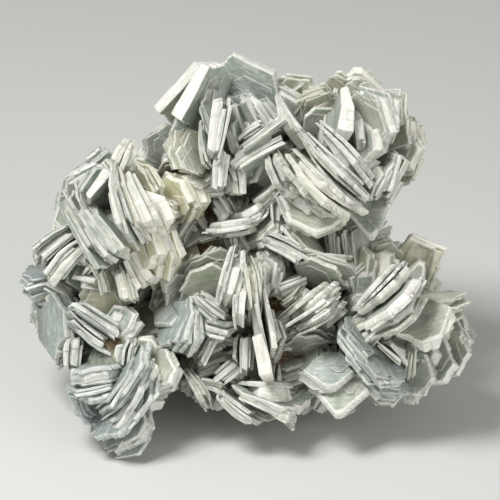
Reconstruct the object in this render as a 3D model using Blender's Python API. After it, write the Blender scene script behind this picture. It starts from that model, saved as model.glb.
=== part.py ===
"""Barite crystal cluster: tabular blades in fanned books, grown together on one crust.

Metres, +Z up. The origin is the middle of the flat face that the cluster rests on. Books are
laid out in a view frame of millimetres: across to the right, up, and out towards somebody
who looks at the front from slightly above. That frame leans back by LEAN.
"""

import math
import random
from collections import namedtuple

import bmesh
import bpy
from mathutils import Matrix, Vector

# Driving dimensions, in millimetres and degrees unless the name says otherwise
MM = 0.001
LEAN = 25.0
LIFT = 40.6
GROUND_SIZE = 400.0
GAP_SHARE = 0.32
PLATE_THICKNESS = 3.5
ROOT_SHARE = 0.12
TAPER = 0.16
SEED = 7

# The back is closed by rings of books inside the front's outline
RING_DEPTHS = (-10.0, -19.0, -28.0, -36.0)
RING_SCALES = (0.88, 0.82, 0.66, 0.34)
RING_BOOKS = (14, 13, 12, 5)
RING_LENGTH = 18.0
RING_WIDTH = 17.0
RING_STACK = 9.0
RING_SUNK_SHARE = 0.2
BACK_REACH = 38.0

# The cut foot of the crust, in world millimetres: its corners on the floor, its height, and
# how far it draws in towards its top
FOOT_CORNERS = [
    (-34, 10), (-22, 3), (-8, -6), (8, -10), (24, -4), (36, 4),
    (37, 14), (23, 24), (0, 28), (-23, 24), (-35, 17),
]
FOOT_HEIGHT = 26.0
FOOT_DRAW_IN = 0.6
FOOT_MIDDLE = (1, 10)

# Massive barite under the books: across, up, out and the three half sizes
LUMPS = [
    (-3, 0, -8, 36, 30, 19),
    (-33, 4, 2, 14, 15, 14),
    (-31, -31, 9, 11, 14, 11),
    (-45, -13, -7, 7, 11, 8),
    (-5, 29, -2, 15, 14, 13),
    (25, 25, 0, 13, 13, 12),
    (34, -18, 6, 14, 15, 14),
    (38, -10, -9, 8, 9, 9),
    (4, -29, 2, 22, 9, 10),
    (-2, -12, 8, 20, 16, 12),
    (14, 16, 8, 12, 10, 10),
    (-19, 5, -17, 21, 20, 11),
    (15, 2, -17, 20, 20, 11),
]

# Turn is the angle of the blades' long lines seen from the front, face is how far their flat
# sides are rolled towards the front, stack is the book's thickness, and nose is the share of
# the length that keeps its full width: small for a rhomb, large for a blunt bar.
Book = namedtuple("Book", "across up out turn face length width stack nose")

BOOKS = [Book(*row) for row in [
    # crown, upper left
    (-15.2, 39.8, 7, 49, -50, 20, 13, 4, 0.75),
    (-12.9, 38.4, 11, 53, -52, 19.5, 10.5, 4.2, 0.7),
    (-14.2, 23.2, 15, -68, 62, 14, 12, 2.4, 0.35),
    (-2.5, 40.9, 4.5, -25, -62, 18, 15, 2.4, 0.75),
    (8.2, 35.2, 5, -31, -60, 14, 11, 2.4, 0.6),
    (-8.2, 29.5, 18, 80, 5, 17, 14, 3.8, 0.8),
    (-8, 19.5, 15.5, 84, 8, 10, 11, 3.6, 0.8),
    (-4.2, 17.8, 12.5, 100, 12, 10, 10, 5, 0.8),
    (3, 26, 14.5, 36, -20, 18, 13, 3, 0.8),
    (2.8, 22.6, 14, 31, -22, 15, 13, 2.6, 0.8),
    (7.5, 24.5, 11, 36, 20, 14, 11, 3, 0.6),
    (-2.5, 24, 9, -20, 60, 14, 12, 3, 0.5),
    # rosette, upper right
    (22.8, 32.6, 18, 84, 12, 15.5, 11, 3, 0.45),
    (20.8, 29.5, 14.5, 70, 30, 12, 11, 3, 0.4),
    (30.2, 32.5, 14, -72, -46, 17, 14, 4.5, 0.5),
    (28.6, 27, 14, -80, -50, 13, 11, 3, 0.5),
    (33.6, 34.8, 6, -88, -50, 10, 12, 3.6, 0.8),
    (36.8, 23.8, 7, 62, 60, 16, 13, 2, 0.5),
    (29.6, 10.6, 12, 4, 62, 14, 17, 2.4, 0.1),
    (16.8, 9.6, 11, -15, 60, 17, 13, 2.6, 0.3),
    (15, 13.5, 14, -35, 50, 14, 11, 2.4, 0.4),
    (14.5, 18.2, 20.5, -46, 16, 22, 14, 4, 0.45),
    (17.6, 17, 24, -44, 16, 25, 16, 3.8, 0.35),
    (20, 20.5, 23, -46, 6, 24, 15, 5, 0.3),
    (23.5, 23.5, 18.5, -50, 0, 22, 14, 4, 0.3),
    (9.4, 32.2, 15, -60, 6, 16, 11, 3, 0.3),
    (7.8, 19.5, 17.5, -64, 8, 13, 13, 4.4, 0.35),
    (10.2, 16.5, 16, -60, 20, 12, 11, 3, 0.5),
    (16.5, 36.5, 5, 20, -40, 12, 11, 4, 0.5),
    (27, 40, -1, -4, -60, 16, 13, 2.4, 0.2),
    (27.4, 37.4, 4, 4, -60, 14, 12, 2, 0.12),
    (10.8, 38.9, -3, -3, -62, 12, 12, 2.4, 0.6),
    # left lobe
    (-39.4, 6, 18, -60, 14, 22, 14, 6, 0.8),
    (-35.6, 5, 20.5, -53, 12, 17, 13, 4, 0.8),
    (-39.6, 16, 6, 25, -72, 14, 11, 2, 0.5),
    (-36, 14, 15, 56, -50, 14, 15, 2.4, 0.5),
    (-30.4, 11, 24, -74, 8, 21, 16, 4.5, 0.5),
    (-27.2, 11.5, 24.5, -66, 2, 21, 16, 5.4, 0.5),
    (-24.4, 8.5, 20.5, -66, -34, 16, 13, 4, 0.5),
    (-26.6, 2.8, 20, -74, -40, 17, 13, 1.4, 0.5),
    (-24.8, 2.6, 19, -73, -38, 19, 13, 1.4, 0.5),
    (-23, 2.2, 18, -72, -36, 20, 13, 1.4, 0.5),
    (-21.2, 1.6, 16.5, -71, -34, 18, 13, 1.4, 0.5),
    (-17, 12.8, 12, -66, -48, 13, 12, 6, 0.5),
    (-21.2, 26, 0, 33, -68, 13, 12, 3, 0.5),
    (-31, 22.6, 15, 66, 0, 10, 9, 5, 0.5),
    (-47.6, 1.6, 9, 36, -8, 14, 12, 5, 0.8),
    (-45.8, -1.8, 10, 46, 8, 14, 12, 4.5, 0.8),
    (-30.5, -8.8, 14, -74, 0, 10, 9, 4, 0.8),
    (-26.8, -3.8, 14, -62, 18, 11, 10, 4, 0.8),
    # left side under the lobe
    (-47.8, -17.4, 3, -86, -32, 21, 14, 4, 0.4),
    (-53, -8, -4, 14, 24, 10, 11, 7, 0.6),
    (-38.6, -17.6, 12.5, -33, -14, 16, 13, 3.4, 0.8),
    (-40.4, -21, 12, -38, -10, 14, 13, 3, 0.8),
    (-36.4, -12.6, 9, -6, -62, 13, 12, 2, 0.4),
    (-43.8, -25.8, 10, 85, 0, 9, 10, 4, 0.8),
    # lower left lobe
    (-38.2, -30.4, 18, 10, 14, 14, 13, 4.6, 0.5),
    (-37.6, -34.6, 18.5, 12, 18, 14, 13, 4, 0.6),
    (-38.2, -38, 12, -66, 52, 17, 12, 4, 0.4),
    (-30.4, -32.6, 19.5, 57, 26, 22, 15, 4.4, 0.5),
    (-28.2, -35.6, 18.5, 54, 36, 22, 15, 4, 0.5),
    (-32.4, -40.4, 18, 56, 30, 18, 14, 3.6, 0.4),
    (-30.2, -44.6, 16, 62, 46, 17, 14, 4.4, 0.4),
    (-21.3, -30.6, 17, 66, 54, 13, 12, 2.4, 0.4),
    (-31, -26.2, 14, 80, 10, 9, 10, 6, 0.8),
    # centre
    (-12, -5.6, 12, 24, -60, 17, 12, 2, 0.35),
    (-11.4, -8.6, 15, 22, -60, 15, 11, 2, 0.35),
    (-16.7, -19.5, 19, 78, 20, 15, 13, 9, 0.5),
    (-9.2, -14.2, 20, -38, 0, 10, 10, 5, 0.8),
    (-8.2, -18.8, 19, -14, 10, 10, 10, 4, 0.5),
    (-5, -7.5, 22, 75, 5, 16, 14, 5, 0.5),
    (-2.8, -14.2, 26, 88, 0, 11, 11, 3, 0.5),
    (-0.5, -9, 21, 98, 0, 18, 15, 5, 0.5),
    (2.6, -18, 20.5, -81, -5, 21, 15, 4, 0.7),
    (3.6, -25.6, 21.5, -76, 4, 13, 12, 2.6, 0.8),
    (4.8, -20, 16, -74, -30, 12, 10, 3, 0.5),
    (-1.2, -25.5, 15, 88, 0, 10, 9, 4, 0.8),
    (3.2, -6.2, 12, 80, 40, 12, 10, 4, 0.5),
    (8.2, -8.7, 9, -50, 20, 12, 10, 3, 0.5),
    # bottom middle
    (3.8, -35, 15, -5, 0, 15, 13, 4.5, 0.5),
    (4.8, -37.8, 17, -20, 5, 17, 13, 4, 0.8),
    (-1.5, -39.4, 15, -38, 5, 13, 12, 3, 0.8),
    (1.4, -39.8, 10, -25, 35, 12, 10, 3, 0.5),
    (-11.7, -35.8, 11, -61, 0, 14, 11, 2.6, 0.5),
    # right
    (16.2, -14.2, 19, 36, 0, 17, 15, 7.5, 0.35),
    (18.8, -5.8, 13, -19, -38, 19, 12, 4, 0.5),
    (33.2, -10, 24, 42, 0, 19, 15, 4.6, 0.35),
    (35.5, -14.5, 27, 40, 6, 21, 16, 7, 0.35),
    (42.2, -18.8, 21, 20, 50, 17, 14, 5.4, 0.35),
    (45.4, -12.8, 13, 3, 12, 15, 13, 5.4, 0.5),
    (50.4, -21.4, 0, 62, 56, 13, 12, 2, 0.4),
    (48.2, -25.6, 3, 54, 58, 13, 12, 2, 0.4),
    (45.6, -28.4, 5, 56, 58, 13, 12, 2, 0.4),
    (26.6, -22.6, 19, -52, 30, 14, 12, 4, 0.6),
    (30.5, -27, 18.5, -44, 44, 17, 13, 4, 0.5),
    (32.2, -31.6, 14, -38, 54, 16, 12, 4, 0.5),
    (21.3, -33.6, 17, 2, 60, 17.5, 17, 2.2, 0.1),
    (20.4, -29.6, 20, 5, 58, 15, 12, 2.4, 0.15),
    (14, -22, 12, 8, -42, 14, 11, 4, 0.5),
    (11, -33.4, 9, -25, 45, 12, 10, 3, 0.6),
    (15.5, -26.8, 10, 50, 30, 10, 10, 4, 0.5),
    # between the upper and lower lobes
    (40.6, -3.2, -2, -12, -74, 13, 15, 3, 0.8),
    (9.2, 0.8, 13, -28, 0, 14, 11, 4, 0.8),
    (11.2, 3, 8, -50, 45, 12, 11, 3, 0.5),
    (21.2, -3.2, 10, -8, 0, 12, 10, 4, 0.5),
    (25.5, -0.5, 4, -82, 38, 14, 12, 9, 0.8),
    (-4.5, 5.5, 12, 8, 5, 14, 11, 4, 0.5),
    (1, 9.2, 10, 30, 10, 10, 9, 4, 0.5),
    (-5.5, 11.2, 6, -60, 20, 10, 9, 4, 0.5),
    (6.2, 11.8, 8, 80, 10, 9, 9, 5, 0.8),
]]

# The outline seen from the front, across and up, which the back's rings follow
OUTLINE = [
    (50, -21), (39, -6), (22, 6), (35, 24), (22, 40), (6, 38), (-14, 38),
    (-26, 24), (-44, 18), (-52, 0), (-53, -16), (-40, -34), (-14, -36), (20, -38),
]


def clear_scene():
    for thing in list(bpy.data.objects):
        bpy.data.objects.remove(thing, do_unlink=True)


def view_matrix():
    """From the view frame, in millimetres, to the world, in metres."""
    lean = math.radians(LEAN)
    rows = (
        (1, 0, 0, 0),
        (0, math.sin(lean), -math.cos(lean), 0),
        (0, math.cos(lean), math.sin(lean), LIFT),
        (0, 0, 0, 1),
    )
    return Matrix.Scale(MM, 4) @ Matrix(rows)


def book_axes(turn, face):
    """Unit vectors along the blades' length, along their width outwards, and through them."""
    angle = math.radians(turn)
    roll = math.radians(face)
    along = Vector((math.cos(angle), math.sin(angle), 0))
    edge_on = Vector((-math.sin(angle), math.cos(angle), 0))
    through = math.cos(roll) * edge_on + math.sin(roll) * along.cross(edge_on)
    return along, along.cross(through), through


def blade_outline(length, width, nose):
    """Six corners of a tabular crystal: pointed ends and two long flat sides."""
    end = length / 2
    side = width / 2
    flat = end * nose
    root = side * (1 + ROOT_SHARE)
    return [(-end, 0), (-flat, -root), (flat, -root), (end, 0), (flat, side), (-flat, side)]


def add_plate(shape, place, centre, axes, outline, thickness):
    """One closed six-sided slab, its two flat faces square to the through axis."""
    along, outwards, through = axes
    rings = []
    for level in (-thickness / 2, thickness / 2):
        ring = []
        for distance, reach in outline:
            point = centre + along * distance + outwards * reach + through * level
            ring.append(shape.verts.new(place @ point))
        rings.append(ring)
    low, high = rings
    shape.faces.new(reversed(low))
    shape.faces.new(high)
    for corner, near in enumerate(low):
        after = (corner + 1) % len(low)
        shape.faces.new((near, low[after], high[after], high[corner]))


def add_book(shape, place, centre, axes, book):
    """A book is a stack of plates, the middle one largest."""
    plates = max(1, round(book.stack / PLATE_THICKNESS))
    pitch = book.stack / (plates - GAP_SHARE)
    for number in range(plates):
        offset = number - (plates - 1) / 2
        size = 1 - TAPER * abs(offset)
        outline = blade_outline(book.length * size, book.width * size, book.nose)
        middle = centre + axes[2] * (offset * pitch)
        add_plate(shape, place, middle, axes, outline, pitch * (1 - GAP_SHARE))


def add_front_books(shape, place):
    for book in BOOKS:
        centre = Vector((book.across, book.up, book.out))
        add_book(shape, place, centre, book_axes(book.turn, book.face), book)


def outline_point(share):
    """A point at a share of the way round the outline."""
    position = share * len(OUTLINE)
    first = int(position) % len(OUTLINE)
    second = (first + 1) % len(OUTLINE)
    mix = position - int(position)
    start = Vector((*OUTLINE[first], 0))
    return start.lerp(Vector((*OUTLINE[second], 0)), mix)


def add_back_books(shape, place):
    """Rings of books that stand out from the back, each turned its own way."""
    chance = random.Random(SEED)
    for depth, scale, count in zip(RING_DEPTHS, RING_SCALES, RING_BOOKS):
        for number in range(count):
            edge = outline_point((number + chance.uniform(-0.25, 0.25)) / count % 1)
            centre = edge * scale + Vector((0, 0, depth))
            sideways = edge.normalized() * scale
            outwards = (sideways + Vector((0, 0, depth / BACK_REACH))).normalized()
            spin = Vector((chance.uniform(-1, 1), chance.uniform(-1, 1), chance.uniform(-1, 1)))
            along = outwards.cross(spin).normalized()
            axes = (along, outwards, outwards.cross(along))
            size = chance.uniform(0.8, 1.1)
            book = Book(0, 0, 0, 0, 0, RING_LENGTH * size, RING_WIDTH * size,
                        RING_STACK * size, chance.choice((0.3, 0.5, 0.8)))
            add_book(shape, place, centre - outwards * book.width * RING_SUNK_SHARE, axes, book)


def add_lumps(shape, place):
    for across, up, out, *halves in LUMPS:
        size = Matrix.Diagonal((*halves, 1))
        spot = Matrix.Translation((across, up, out))
        bmesh.ops.create_icosphere(shape, subdivisions=1, radius=1, matrix=place @ spot @ size)


def add_foot(shape):
    """The broken foot of the crust, whose underside the ground cuts flat."""
    rings = []
    for height, share in ((-1, 1), (FOOT_HEIGHT, FOOT_DRAW_IN)):
        ring = []
        for corner in FOOT_CORNERS:
            flat = Vector(FOOT_MIDDLE).lerp(Vector(corner), share)
            ring.append(shape.verts.new(Vector((*flat, height)) * MM))
        rings.append(ring)
    low, high = rings
    shape.faces.new(reversed(low))
    shape.faces.new(high)
    for number, near in enumerate(low):
        after = (number + 1) % len(low)
        shape.faces.new((near, low[after], high[after], high[number]))


def new_object(name, shape):
    mesh = bpy.data.meshes.new(name)
    bmesh.ops.recalc_face_normals(shape, faces=shape.faces)
    shape.to_mesh(mesh)
    shape.free()
    thing = bpy.data.objects.new(name, mesh)
    bpy.context.collection.objects.link(thing)
    return thing


def barite_material():
    material = bpy.data.materials.new("pale barite")
    material.use_nodes = True
    surface = material.node_tree.nodes["Principled BSDF"]
    surface.inputs["Base Color"].default_value = (0.48, 0.56, 0.54, 1)
    surface.inputs["Roughness"].default_value = 0.42
    surface.inputs["Metallic"].default_value = 0.0
    return material


def ground_cutter():
    """A block whose top is the flat face that the cluster rests on."""
    shape = bmesh.new()
    size = GROUND_SIZE * MM
    bmesh.ops.create_cube(shape, size=size, matrix=Matrix.Translation((0, 0, -size / 2)))
    cutter = new_object("ground cutter", shape)
    cutter.hide_render = True
    cutter.display_type = "WIRE"
    return cutter


def keep_largest_body(thing):
    """Apply the modifiers and drop chips and sealed pockets that the joining left."""
    whole = bmesh.new()
    whole.from_object(thing, bpy.context.evaluated_depsgraph_get())
    bodies = []
    waiting = set(whole.verts)
    while waiting:
        body = set()
        edge_of_body = {next(iter(waiting))}
        while edge_of_body:
            body |= edge_of_body
            near = {edge.other_vert(vert) for vert in edge_of_body for edge in vert.link_edges}
            edge_of_body = near - body
        waiting -= body
        bodies.append(body)
    largest = max(bodies, key=len)
    spare = [vert for vert in whole.verts if vert not in largest]
    bmesh.ops.delete(whole, geom=spare, context="VERTS")
    thing.modifiers.clear()
    whole.to_mesh(thing.data)
    whole.free()


def build_cluster(cutter):
    shape = bmesh.new()
    place = view_matrix()
    add_foot(shape)
    add_lumps(shape, place)
    add_front_books(shape, place)
    add_back_books(shape, place)
    cluster = new_object("barite_crystals", shape)
    cluster.data.materials.append(barite_material())
    cut = cluster.modifiers.new("grown together and cut flat", "BOOLEAN")
    cut.operation = "DIFFERENCE"
    cut.object = cutter
    cut.solver = "EXACT"
    cut.use_self = True
    keep_largest_body(cluster)


def main():
    clear_scene()
    build_cluster(ground_cutter())


main()
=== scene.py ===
"""Barite crystal cluster, dressed: every book of blades, the crust under them and the stage.

Books are laid out in a view frame of millimetres: across to the right, up, and out towards
somebody who looks at the front from slightly above. That frame leans back by LEAN.
"""

import math
import random
from collections import namedtuple

import bmesh
import bpy
import numpy as np
from bpy.props import FloatProperty, FloatVectorProperty, PointerProperty
from mathutils import Matrix, Vector, noise


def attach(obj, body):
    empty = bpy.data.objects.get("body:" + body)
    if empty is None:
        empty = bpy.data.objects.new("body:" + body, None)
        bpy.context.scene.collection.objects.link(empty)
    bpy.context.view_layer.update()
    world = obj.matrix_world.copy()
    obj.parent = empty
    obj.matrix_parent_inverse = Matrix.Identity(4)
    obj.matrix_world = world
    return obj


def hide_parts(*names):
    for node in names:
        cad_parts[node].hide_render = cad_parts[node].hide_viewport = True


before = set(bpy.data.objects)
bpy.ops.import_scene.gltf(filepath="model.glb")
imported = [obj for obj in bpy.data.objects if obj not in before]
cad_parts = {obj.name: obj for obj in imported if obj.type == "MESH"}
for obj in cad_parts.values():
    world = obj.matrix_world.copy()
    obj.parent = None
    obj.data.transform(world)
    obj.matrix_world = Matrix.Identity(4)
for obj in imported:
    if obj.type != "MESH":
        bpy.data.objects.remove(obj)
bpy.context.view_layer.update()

bl_info = {
    "name": "Barite crystal cluster",
    "version": (1, 0, 0),
    "blender": (4, 5, 0),
    "location": "3D View > Sidebar > Barite",
    "description": "Grows a cluster of bladed barite, with its crust and a plain stage",
    "category": "Object",
}

NODE = "barite_crystals"
BODY = "root"
BLADES = "barite blades"

# The stage, in metres
FLOOR_REACH = 4.0
KEY_PLACE = Vector((-0.24, -0.2, 0.56))
KEY_SIZE = 0.21
FILL_PLACE = Vector((0.85, -0.75, 0.25))
FILL_SIZE = 0.9
SKY_COLOUR = (0.89, 0.885, 0.86, 1)
SKY_STRENGTH = 0.31

# The view frame: its lean in degrees, and the height of its origin in millimetres
MM = 0.001
LEAN = 25.0
LIFT = 40.6

# Blades within a book, in millimetres, degrees and shares of a blade's own size
ROOT_SHARE = 0.12
TAPER = 0.12
SHORTEST = 0.72
SLIDE_JITTER = 0.075
PUSH_JITTER = 0.5
TURN_JITTER = 1.2
REBEL_SHARE = 0.1
REBEL_TURN = 7.0
LENS = (0.05, 0.3)
BOW = 0.9
MOST_FAN = 1.5
MOST_FLARE = 0.7
GRAINS = (0.4, 0.5, 0.6, 0.8, 1.0, 1.4, 2.1)

# Ledges in a blade's outline: depth, and length of the slope as a share of the edge. Blades
# with a nose below RHOMB_NOSE have none, and those longer than LONG_BLADE have more.
END_LEDGE = (0.9, 0.02)
SIDE_LEDGE = (0.45, 0.08)
LAST_LEDGE = 0.86
RHOMB_NOSE = 0.25
LONG_BLADE = 12.0

# Thin steps on a blade's flat sides, which books rolled past FACE_ON always have
FACE_ON = 33.0
PLATELET_HEIGHT = 0.18
PLATELET_SHARE = 0.2

# A blade's chisel edge, whose broad bevel mostly looks towards the light. Bevels are shares of
# the chamfer's width, edges are heights of the outermost line as shares of half the thickness,
# and END_SHARE is the chamfer's width at the ends.
BROAD_BEVEL = (0.7, 1.7)
SLIGHT_BEVEL = (0.1, 0.35)
BROAD_EDGE = (-0.6, 0.1)
SLIGHT_EDGE = (0.7, 0.92)
BROAD_SHARE = 0.8
WIDEST_BEVEL = 0.2
END_SHARE = 0.6
LIGHT_FROM = Vector((-0.5, 0.8, 0.35))
LEAST_LIGHT = 0.15

# White parts, partly the blades' milky edges and partly painted glow of light through them: the
# margin is as wide as the size says where the bevel is USUAL_BEVEL, and stays white for
# WHITE_SHARE of that. Each millimetre makes the narrow side whiter by the last constant here.
USUAL_BEVEL = 0.6
WHITE_SHARE = 0.5
CLEAR_EDGE = 0.36
MILKY_GLOW_EDGE = 0.2

# The back is closed by rings of books: depth, share of the front's outline, and number
RING_SEED = 7
RINGS = [(-10.0, 0.88, 14), (-19.0, 0.82, 13), (-28.0, 0.66, 12), (-36.0, 0.34, 5)]
RING_LENGTH = 18.0
RING_WIDTH = 17.0
RING_STACK = 9.0
RING_SUNK_SHARE = 0.2
BACK_REACH = 38.0
OUTLINE = [
    (50, -21), (39, -6), (22, 6), (35, 24), (22, 40), (6, 38), (-14, 38),
    (-26, 24), (-44, 18), (-52, 0), (-53, -16), (-40, -34), (-14, -36), (20, -38),
]

# Small books that stand on the crust, except where they would be buried in another lump
FILLER_SEED = 30
FILLERS_EACH_AREA = 0.1
FILLER_LENGTH = (6, 12)
FILLER_WIDTH = (6, 10)
FILLER_STACKS = (1.6, 2.4, 3.4, 4.4)
BURIED = 0.8

# Massive barite under the books, melted together in voxels of CRUST_GRAIN millimetres:
# across, up, out and the three half sizes
CRUST_GRAIN = 1.4
LUMPS = [
    (-3, 0, -9, 36, 30, 16),
    (-33, 4, 2, 14, 15, 14),
    (-32, -29, 9, 9, 12, 10),
    (-45, -13, -7, 7, 11, 8),
    (-5, 27, -3, 14, 13, 12),
    (25, 25, 0, 13, 13, 12),
    (33.5, -17.5, 5, 13.5, 14, 13),
    (36, -10, -9, 8, 9, 9),
    (4, -29, 2, 22, 9, 10),
    (-2, -13, 4, 19, 15, 10),
    (14, 17, 6, 12, 9, 9),
    (-19, 5, -17, 21, 20, 11),
    (13, 2, -17, 18, 20, 11),
]

# The cut foot under the lumps, in world millimetres: across and back
FOOT_CORNERS = [
    (-34, 10), (-22, 3), (-8, -6), (8, -10), (24, -4), (36, 4),
    (37, 14), (23, 24), (0, 28), (-23, 24), (-35, 17),
]
FOOT_HEIGHT = 26.0
FOOT_DRAW_IN = 0.6
FOOT_MIDDLE = (1, 10)

# Small books round the back of the foot, in rows up from the floor, in millimetres and degrees
FOOT_SEED = 5
FOOT_RADII = (35, 17)
FOOT_ROWS = (3.0, 9.0, 15.0)
FOOT_BOOKS = 24
FOOT_BOOKS_FROM = -10
FOOT_BOOKS_TURN = 200

# Brown stained hollows seen from the front: across, up and radius
STAINS = [
    (-10.6, 11.5, 4.5), (-13.5, 2, 5.5), (13, -9.2, 3), (5, -13.5, 5),
    (8.5, -27.2, 5.5), (-16.5, 20.5, 3), (-35, -22, 3), (-23.5, -13.5, 4),
]

# A row has across, up, out, turn and a book's form. Turn is the angle of the blades' long
# lines seen from the front, face is how far their flat sides are rolled towards the front,
# stack is the book's thickness, nose is the share of the length that keeps its full width,
# warm is cream above nought and blue below it, grain is the usual thickness of a blade, bevel
# is the width of the chisel edge, or nought to leave it to the blade's thickness, splay is how
# far the blades spread towards the end that turn points at, or the other end below nought,
# and flare is how far they spread at their outer edge.
Book = namedtuple(
    "Book", "face length width stack nose warm grain bevel splay flare",
    defaults=(0.8, 0.0, 0.85, 0.0, 4.0, 5.0))

CROWN = [
    (-14.1, 40.7, 7, 48, -38, 19.5, 12, 2.6, 0.95, 0.1, 6, 0.5, -4),
    (-12.7, 37.7, 11, 52, -38, 22, 14, 3, 0.95, 0.1, 6, 0.5, -4),
    (-15.4, 30.2, 12.4, 68, -62, 12, 8, 1.8, 0.5, 0, 1.2, 0.3),
    (-14.2, 23.2, 15, -68, 62, 14, 12, 2.4, 0.35, 0.2, 1, 0.3),
    (-11.8, 38.8, 14.2, 64, -48, 12, 4, 1.3, 0.8, 0.1, 1.3, 0.3),
    (-9.8, 38.4, 12.8, 74, -48, 12, 4, 1.2, 0.8, 0, 1.2, 0.3),
    (-7.9, 38, 11.4, 84, -46, 11, 4, 1.4, 0.8, -0.1, 0.7, 0.3),
    (-11.2, 26.5, 17, -84, 20, 13, 6, 1.6, 0.8, 0, 0.8),
    (-10.2, 32.5, 16.5, -72, 25, 11, 5, 1.4, 0.8, 0, 0.8),
    (-12.8, 18, 14, -35, 62, 8, 8, 2, 0.5, 0.2),
    (-0.9, 40.2, 6, -27, -62, 19.5, 15, 2.2, 0.75, -0.3, 6, 0.3),
    (-0.5, 33.6, 6.5, -45, -62, 13, 11, 1.6, 0.5, -0.4, 1, 0.3),
    (8.2, 35.2, 5, -31, -60, 14, 11, 2.4, 0.6, 0.1, 1.2, 0.6),
    (0.5, 33.5, 11, -60, -28, 11, 6, 2.2, 0.8, 0, 1.1),
    (2.8, 32.5, 11.5, -56, -25, 11, 6, 2.2, 0.8, -0.1, 1.1),
    (5.8, 33, 10, -50, -22, 11, 6, 2, 0.8, 0, 1),
    (-2.5, 32, 10, -68, 10, 9, 6, 2),
    (-8.2, 29.5, 18, 80, 5, 17, 14, 3.8, 0.8, 0, 0.8, 0, 6),
    (-8, 19.5, 15.5, 84, 8, 10, 11, 3.6),
    (-4.2, 17.8, 12.5, 100, 12, 10, 10, 5, 0.8, 0, 1.2),
    (-9.5, 16.5, 9, 5, 50, 11, 9, 3, 0.5),
    (0.5, 28.8, 14.5, 34, -16, 8, 10, 2.2, 0.8, 0, 1.2),
    (3, 26, 14.5, 36, -20, 18, 13, 3, 0.8, 0, 0.9),
    (2.8, 22.6, 14, 31, -22, 15, 13, 2.6, 0.8, 0, 0.8),
    (7.5, 24.5, 11, 36, 20, 14, 11, 3, 0.6, 0, 1),
    (-3.6, 27.5, 14, -77, 15, 10, 9, 2),
    (-1, 21, 11, 70, 45, 10, 9, 3, 0.5),
    (-2.5, 24, 9, -20, 60, 14, 12, 3, 0.5, 0.1),
]

ROSETTE = [
    (22.8, 32.6, 18, 84, 12, 15.5, 11, 3, 0.45, 0, 3, 1.4, -8),
    (20.8, 29.5, 14.5, 70, 30, 12, 11, 3, 0.4, -0.1, 1.5),
    (26.2, 29, 15, 98, 10, 12, 11, 2.2, 0.5),
    (30.2, 32.5, 14, -72, -46, 17, 14, 4.5, 0.5, 0.1, 1),
    (28.6, 27, 14, -80, -50, 13, 11, 3, 0.5, 0, 1),
    (33.6, 34.8, 6, -88, -50, 10, 12, 3.6, 0.8, 0.2, 0.9),
    (34.6, 35, 3.5, -86, -52, 10, 10, 2, 0.8, 0.1, 0.9),
    (36.3, 28.5, 7, -84, -52, 11, 11, 2.6, 0.8, 0.35, 0.9),
    (37.8, 30, 2, -84, -54, 8, 9, 2.4, 0.8, 0.4, 0.8),
    (39.3, 28.6, -1, -84, -55, 8, 9, 2.2, 0.8, 0.4, 0.8),
    (36.8, 23.8, 7, 62, 60, 16, 13, 2, 0.5, 0.2, 1, 0.6),
    (38.8, 21.4, 1, 66, 58, 13, 10, 2, 0.5, 0.4, 0.9, 0.6),
    (32.6, 17.6, 10, 60, 56, 15, 12, 1.4, 0.6, -0.1, 1.4, 0.4),
    (29.8, 17.6, 14, 60, 34, 9, 8, 1.2, 0.8, 0, 0.6, 0.3),
    (31.6, 18, 13.6, 61, 32, 12, 8, 1, 0.8, 0.1, 1.2, 0.3),
    (33.4, 18.6, 13, 61, 30, 13, 8, 1.2, 0.8, 0, 0.6, 0.3),
    (35.2, 19.2, 12, 62, 30, 12, 8, 0.9, 0.8, 0.1, 1, 0.3),
    (27.6, 21, 11, 50, 48, 8, 9, 2.4, 0.8, 0, 0.6),
    (30.3, 10.6, 12, 4, 62, 14, 17, 2.4, 0.1, 0, 1.5, 0.9),
    (16.4, 10, 13, -24, 60, 20, 14, 2.6, 0.35, 0.2, 1.4, 0.8),
    (15, 13.5, 14, -35, 50, 14, 11, 2.4, 0.4, 0.1, 1.2),
    (13.6, 17.6, 20.5, -48, 14, 20, 14, 3, 0.45, 0.2, 1.5, 0.9, 6),
    (17.4, 16.6, 24, -44, 8, 26, 16, 4.6, 0.35, 0.3, 1.7, 0.9, 8),
    (20, 20.5, 23, -46, 6, 24, 15, 5, 0.3, 0.1, 0.9, 0, 8),
    (23.5, 23.5, 18.5, -50, 0, 22, 14, 4, 0.3, 0, 0.8, 0, 8),
    (9.4, 32.2, 15, -60, 6, 16, 11, 3, 0.3, 0.1, 1.8, 0.7, 10),
    (7.8, 19.5, 17.5, -64, 8, 13, 13, 4.4, 0.35, 0.1, 1),
    (10.2, 16.5, 16, -60, 20, 12, 11, 3, 0.5, 0.1, 1),
    (18, 11.5, 16, -38, 25, 11, 9, 3, 0.5, 0.1),
    (18, 31.5, 10, 42, -56, 11, 11, 2.4, 0.3, 0, 1.1),
    (16.5, 36.5, 5, 20, -40, 12, 11, 4, 0.5, 0.4, 0.9),
    (13.6, 37.6, 2, 32, -35, 9, 9, 3, 0.5, 0.4, 0.9),
    (21.6, 40.2, 0, 6, -62, 11, 11, 2, 0.12, 0.3, 1, 0.5),
    (25.8, 39.3, -1, -4, -60, 15, 12, 2.4, 0.12, 0.3, 1.1, 0.4),
    (29, 36.4, -2, -50, -58, 11, 9, 2, 0.5, 0.3, 1, 0.4),
    (26.8, 37.4, 5, 4, -60, 14, 12, 2, 0.12, 0.3, 1.1, 0.5),
    (10.8, 38.9, -3, -3, -62, 12, 12, 2.4, 0.6, 0.3, 1.2, 0.5),
]

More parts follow.
